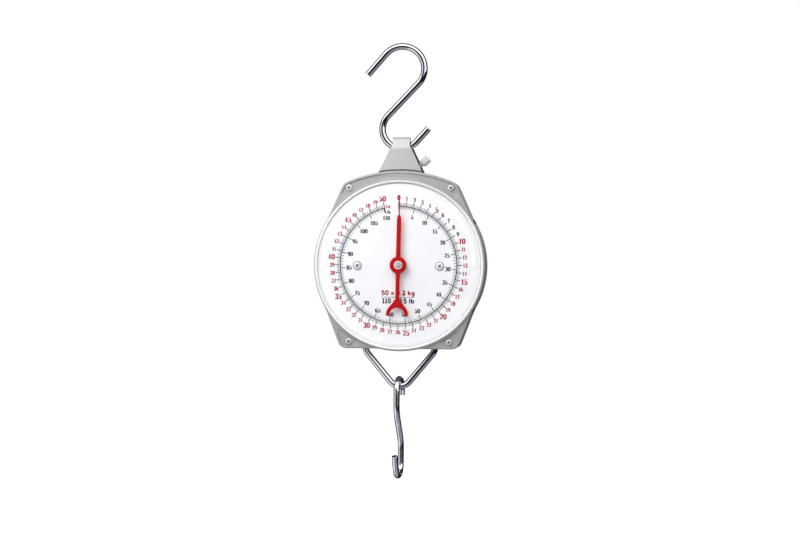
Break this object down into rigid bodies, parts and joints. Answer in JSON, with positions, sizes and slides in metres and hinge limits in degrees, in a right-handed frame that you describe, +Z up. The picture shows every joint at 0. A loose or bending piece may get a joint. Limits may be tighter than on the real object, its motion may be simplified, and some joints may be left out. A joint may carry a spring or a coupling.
{
  "type": "hanging dial scale",
  "caption": "Hanging dial scale: a grey metal casing with a round domed-lens dial and red pointer, hung by a folded yoke from a wire S-hook, with a wire bail and S-hook for the load.",
  "frame": {"origin": "inner top of the upper hook's upper loop, where the bar that carries the scale bears", "axes": "+Z up along the line of pull, +X to the right of the dial as it is read, -Y out of the dial"},
  "size_m": [0.1794, 0.0546, 0.4573],
  "materials": {
    "chrome_wire": "bright plated",
    "grey_paint": "satin enamel",
    "steel": "zinc plated",
    "brass": "machined",
    "clear": "clear moulded",
    "seal": "matt",
    "dial_white": "printed enamel",
    "red_paint": "satin enamel"
  },
  "bodies": {
    "upper_hook": {"upper_hook": "chrome_wire"},
    "hanger": {"yoke": "grey_paint", "yoke_rivets": "steel", "spring_anchor": "steel", "guide_rods": "chrome_wire", "rod_stops": "brass", "left_spring": "steel", "right_spring": "steel"},
    "housing": {"front_shell": "grey_paint", "rear_shell": "grey_paint", "corner_posts": "steel", "corner_screws": "steel", "side_screws": "steel", "lens": "clear", "lens_seal": "seal", "dial_plate": "dial_white", "dial_posts": "brass", "dial_screws": "steel", "front_plate": "steel", "rear_plate": "steel", "upper_guide": "brass", "lower_guide": "brass", "plate_screws": "steel", "arbor_bushes": "brass", "rear_posts": "steel", "back_screws": "steel", "zero_boss": "steel"},
    "zero_screw": {"zero_screw": "steel"},
    "pointer_set": {"arbor": "steel", "pinion": "brass", "pointer": "red_paint", "pointer_cap": "chrome_wire", "arbor_clip": "steel"},
    "carriage": {"carriage": "steel", "carriage_bushes": "brass", "rack": "brass", "rack_pin": "steel"},
    "bail": {"bail": "chrome_wire"},
    "lower_hook": {"lower_hook": "chrome_wire"}
  },
  "joints": [
    {"name": "yoke_swing", "type": "hinge", "parent": "upper_hook", "child": "hanger", "pos_m": [0, 0, -0.1015], "axis": [1, 0, 0], "range_deg": [-30, 30]},
    {"name": "zero_shift", "type": "slide", "parent": "hanger", "child": "housing", "axis": [0, 0, 1], "range_m": [-0.0005, 0.0005]},
    {"name": "zero_turn", "type": "hinge", "parent": "housing", "child": "zero_screw", "pos_m": [0.0249, 0, -0.1167], "axis": [-0.7071, 0, -0.7071], "range_deg": [-182, 182]},
    {"name": "load_travel", "type": "slide", "parent": "housing", "child": "carriage", "axis": [0, 0, -1], "range_m": [0, 0.02415], "stiffness_N_per_m": 20310, "springref_m": -0.0001, "deforming": ["left_spring", "right_spring"]},
    {"name": "pointer_turn", "type": "hinge", "parent": "housing", "child": "pointer_set", "pos_m": [0, 0, -0.2262], "axis": [0, 1, 0], "range_deg": [0, 346]},
    {"name": "bail_rock", "type": "hinge", "parent": "carriage", "child": "bail", "pos_m": [0, 0, -0.275], "axis": [1, 0, 0], "range_deg": [-4, 4]},
    {"name": "hook_swing", "type": "hinge", "parent": "bail", "child": "lower_hook", "pos_m": [0, 0, -0.3529], "axis": [1, 0, 0], "range_deg": [-75, 75]}
  ],
  "couplings": [
    {"joint": "pointer_turn", "follows": "load_travel", "rad_per_m": 250},
    {"joint": "zero_turn", "follows": "zero_shift", "rad_per_m": 6347}
  ]
}
